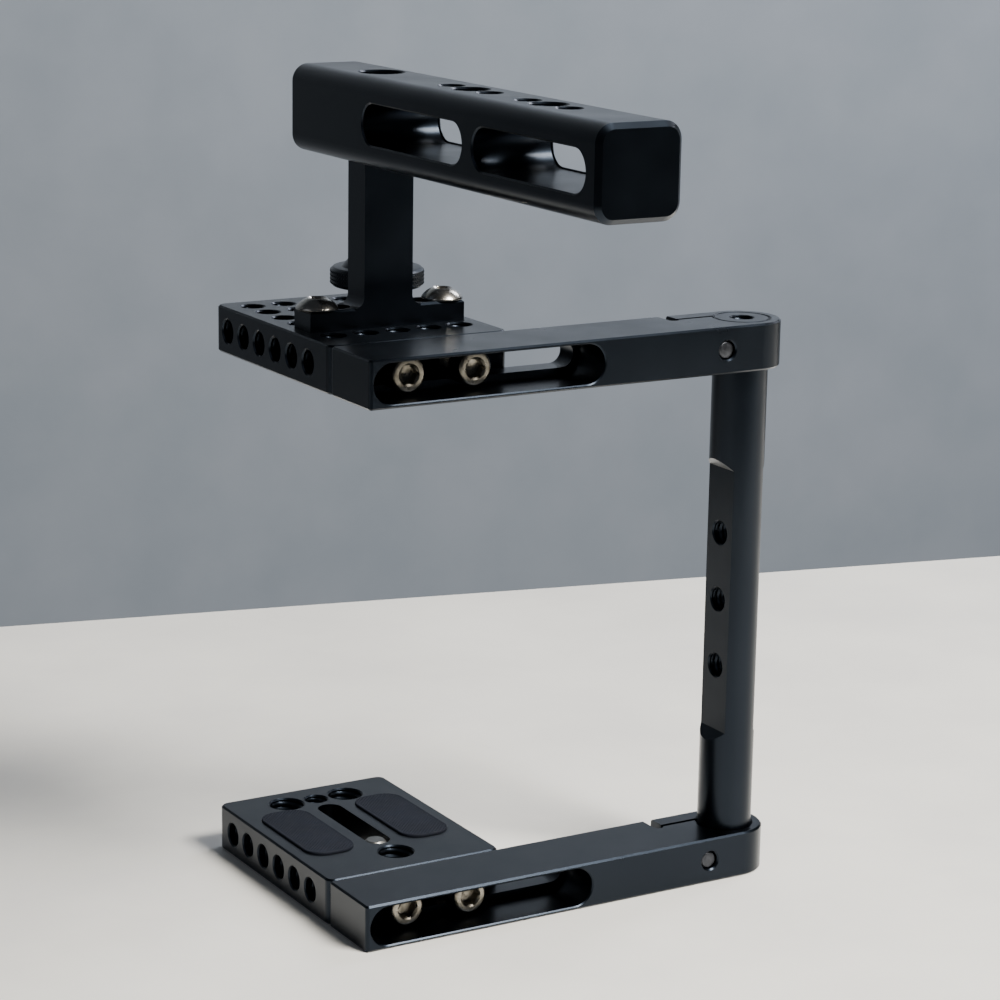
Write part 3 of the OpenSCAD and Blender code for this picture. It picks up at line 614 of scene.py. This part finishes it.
EYE = Vector((-0.358452, -0.655776, 0.293823))
YAW, PITCH, ROLL = 0.5358, -0.2402, 0.0166  # radians
PICTURE, FOCAL = 1000, 2931.75              # pixels
EDGE_AT_LEFT, EDGE_AT_RIGHT = 627, 556      # pixels from the top to the table's far edge
TABLE_SPARE, TABLE_DEEP = 0.9, 0.75  # metres that the table goes on past each side, and to the front
WALL_BEHIND, WALL_SPARE = 0.8, 1.0   # metres from the table's far edge, and past its sides
WALL_BELOW, WALL_ABOVE = 0.8, 1.6    # metres below and above the table

forward = Vector((math.sin(YAW) * math.cos(PITCH), math.cos(YAW) * math.cos(PITCH), math.sin(PITCH)))
level_right = Vector((math.cos(YAW), -math.sin(YAW), 0.0))
level_up = level_right.cross(forward)
right = level_right * math.cos(ROLL) + level_up * math.sin(ROLL)
up = level_up * math.cos(ROLL) - level_right * math.sin(ROLL)

lens = bpy.data.cameras.new("photo_camera")
lens.sensor_width = 36.0
lens.lens = FOCAL * lens.sensor_width / PICTURE
lens.clip_end = 20.0
camera = bpy.data.objects.new("photo_camera", lens)
camera.matrix_world = Matrix.Translation(EYE) @ Matrix((right, up, -forward)).transposed().to_4x4()
bpy.context.scene.collection.objects.link(camera)
bpy.context.scene.camera = camera


def on_floor(x, y):
    """Where the ray through picture point (x, y) meets the floor: EYE + t d with z = 0."""
    ray = forward * FOCAL + right * (x - PICTURE / 2) - up * (y - PICTURE / 2)
    return EYE - ray * (EYE.z / ray.z)


def sheet(name, corners, material):
    """Flat stage surface through its corners."""
    data = bpy.data.meshes.new(name)
    data.from_pydata([tuple(c) for c in corners], [], [tuple(range(len(corners)))])
    data.materials.append(material)
    made = bpy.data.objects.new(name, data)
    bpy.context.scene.collection.objects.link(made)
    return made


edge_left, edge_right = on_floor(0, EDGE_AT_LEFT), on_floor(PICTURE, EDGE_AT_RIGHT)
along = (edge_right - edge_left).normalized()
back = Vector((-along.y, along.x, 0.0))
rise = Vector((0.0, 0.0, 1.0))
far_left, far_right = edge_left - along * TABLE_SPARE, edge_right + along * TABLE_SPARE
# pale laminate, slightly uneven: an even, almost white ground with soft shadows
sheet("floor", [far_left - back * TABLE_DEEP, far_right - back * TABLE_DEEP, far_right, far_left],
      finish("pale_laminate", "#efeee8", "#e1e0dc", metallic=0.0, rough=(0.5, 0.6),
             grain=4 * MM, relief=0.05 * MM, blotch=60 * MM))
wall_left = far_left + back * WALL_BEHIND - along * WALL_SPARE
wall_right = far_right + back * WALL_BEHIND + along * WALL_SPARE
wall_middle = (wall_left + wall_right) / 2
# grey emulsion paint: a matt ground that only the wash light shades
sheet("backdrop", [wall_left - rise * WALL_BELOW, wall_right - rise * WALL_BELOW,
                   wall_right + rise * WALL_ABOVE, wall_left + rise * WALL_ABOVE],
      finish("grey_wall_paint", "#959da7", "#8d96a0", metallic=0.0, rough=(0.8, 0.9),
             grain=4 * MM, relief=0.05 * MM, blotch=60 * MM))


def softbox(name, place, target, size, power, tint):
    """Rectangular area light at place, aimed at target."""
    data = bpy.data.lights.new(name, "AREA")
    data.shape = "RECTANGLE"
    data.size, data.size_y = size
    data.energy = power
    data.color = colour(tint)[:3]
    made = bpy.data.objects.new(name, data)
    made.location = place
    made.rotation_euler = (Vector(target) - Vector(place)).to_track_quat("-Z", "Y").to_euler()
    bpy.context.scene.collection.objects.link(made)
    return made


softbox("overhead_key", (0.4, -0.74, 1.0), (0.02, -0.2, 0.05), size=(0.5, 0.5), power=44, tint="#fffaf2")
softbox("room_left", (-1.1, -0.1, 0.75), (0.03, -0.02, 0.08), size=(0.7, 0.9), power=0.8, tint="#eef3ff")
softbox("backdrop_wash", wall_middle - back * 0.55 + rise * 0.85 + along * 0.75,
        wall_middle - rise * 0.1 + along * 0.35, size=(0.7, 0.3), power=8.5, tint="#f2f5ff")

world = bpy.data.worlds.new("dim_room")
world.use_nodes = True
room = world.node_tree.nodes["Background"].inputs
room["Color"].default_value = colour("#8b93a0")
room["Strength"].default_value = 0.12
bpy.context.scene.world = world
